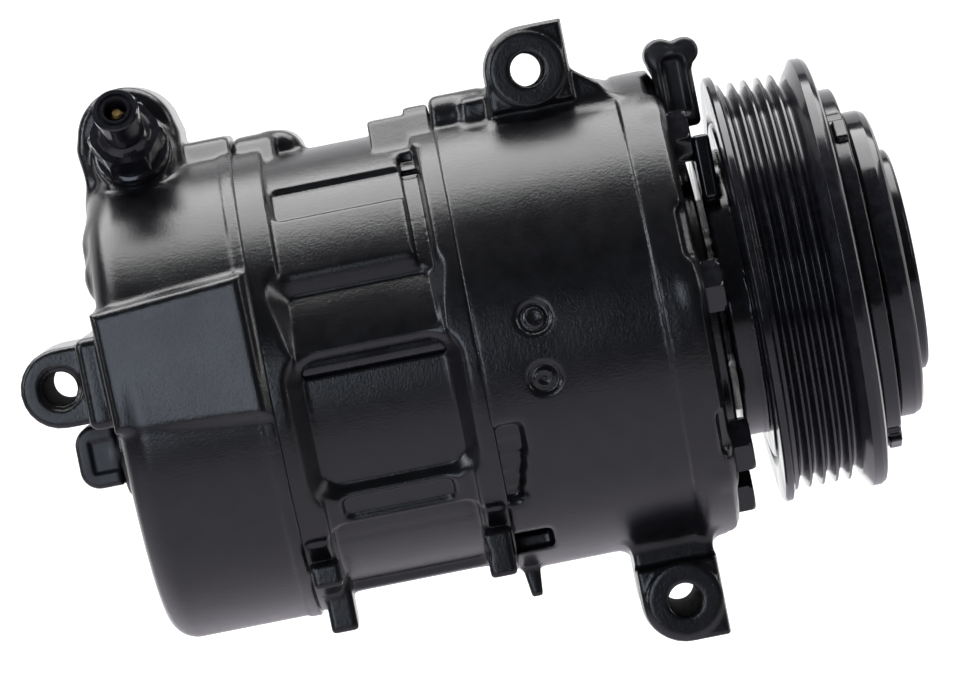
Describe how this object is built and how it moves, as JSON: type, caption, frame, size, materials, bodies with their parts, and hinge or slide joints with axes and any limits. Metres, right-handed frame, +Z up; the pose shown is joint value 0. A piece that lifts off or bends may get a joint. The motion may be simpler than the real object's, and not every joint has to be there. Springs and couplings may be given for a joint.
{
  "type": "automotive ac compressor",
  "caption": "Variable-displacement swash-plate air-conditioning compressor with a cylindrical cast casing, mounting ears, relief valve, and an electromagnetic clutch with a grooved belt pulley.",
  "frame": {"origin": "centre of the drive shaft's front end, level with the clutch hub's front face", "axes": "+X along the shaft, out of the clutch; +Z up, towards the top mounting ear; the mounting bolts run along Y with their heads on the -Y side"},
  "size_m": [0.2297, 0.1295, 0.1673],
  "materials": {
    "cast_black": "semi-gloss black paint over die-cast aluminium",
    "gloss_black": "gloss black paint on machined steel",
    "steel": "ground",
    "spring_steel": "blued spring steel",
    "alloy": "machined",
    "iron": "machined cast iron",
    "brass": "machined",
    "coil_resin": "potting resin over enamelled copper",
    "rubber": "moulded",
    "plastic": "glass-filled nylon, overpainted black"
  },
  "bodies": {
    "casing": {"front_housing": "cast_black", "cylinder_block": "cast_black", "rear_cover": "cast_black", "valve_plate": "steel", "suction_reed": "spring_steel", "discharge_reed": "spring_steel", "relief_valve_body": "gloss_black", "control_valve_body": "steel", "control_valve_connector": "plastic", "thrust_bearing": "steel", "front_needle_bearing": "steel", "rear_needle_bearing": "steel", "shaft_seal": "rubber", "coil_housing": "gloss_black", "coil_winding": "coil_resin", "coil_connector": "plastic", "bearing_inner_ring": "steel", "through_bolt_1": "gloss_black", "through_bolt_2": "gloss_black", "through_bolt_3": "gloss_black", "through_bolt_4": "gloss_black", "through_bolt_5": "gloss_black", "through_bolt_6": "gloss_black", "through_bolt_7": "gloss_black", "piston_1": "alloy", "piston_2": "alloy", "piston_3": "alloy", "piston_4": "alloy", "piston_5": "alloy", "piston_6": "alloy", "piston_7": "alloy", "rear_shoe_1": "steel", "rear_shoe_2": "steel", "rear_shoe_3": "steel", "rear_shoe_4": "steel", "rear_shoe_5": "steel", "rear_shoe_6": "steel", "rear_shoe_7": "steel", "front_shoe_1": "steel", "front_shoe_2": "steel", "front_shoe_3": "steel", "front_shoe_4": "steel", "front_shoe_5": "steel", "front_shoe_6": "steel", "front_shoe_7": "steel"},
    "pulley_body": {"pulley": "gloss_black", "bearing_outer_ring": "steel"},
    "ball_cage": {"bearing_ball_cage": "brass"},
    "rotor": {"drive_shaft": "steel", "lug_plate": "iron", "swash_plate": "iron", "hinge_pin": "steel", "destroke_spring": "spring_steel", "clutch_hub": "gloss_black", "hub_nut": "steel", "damper_rubber": "rubber", "outer_disc": "gloss_black"},
    "armature": {"armature_plate": "gloss_black"},
    "spool": {"control_valve_spool": "steel"},
    "poppet": {"relief_valve_poppet": "brass"}
  },
  "joints": [
    {"name": "pulley_spin", "type": "hinge", "parent": "casing", "child": "pulley_body", "pos_m": [0, 0, 0], "axis": [1, 0, 0], "continuous": true},
    {"name": "cage_spin", "type": "hinge", "parent": "casing", "child": "ball_cage", "pos_m": [0, 0, 0], "axis": [1, 0, 0], "continuous": true},
    {"name": "shaft_spin", "type": "hinge", "parent": "casing", "child": "rotor", "pos_m": [0, 0, 0], "axis": [1, 0, 0], "continuous": true},
    {"name": "armature_engage", "type": "slide", "parent": "rotor", "child": "armature", "axis": [-1, 0, 0], "range_m": [0, 0.0003], "stiffness_N_per_m": 8000},
    {"name": "spool_slide", "type": "slide", "parent": "casing", "child": "spool", "axis": [1, 0, 0], "range_m": [0, 0.0008], "stiffness_N_per_m": 300},
    {"name": "relief_lift", "type": "slide", "parent": "casing", "child": "poppet", "axis": [-0.03, -0.89, 0.455], "range_m": [0, 0.0015], "stiffness_N_per_m": 200}
  ],
  "couplings": [
    {"joint": "cage_spin", "follows": "pulley_spin", "ratio": 0.566}
  ]
}
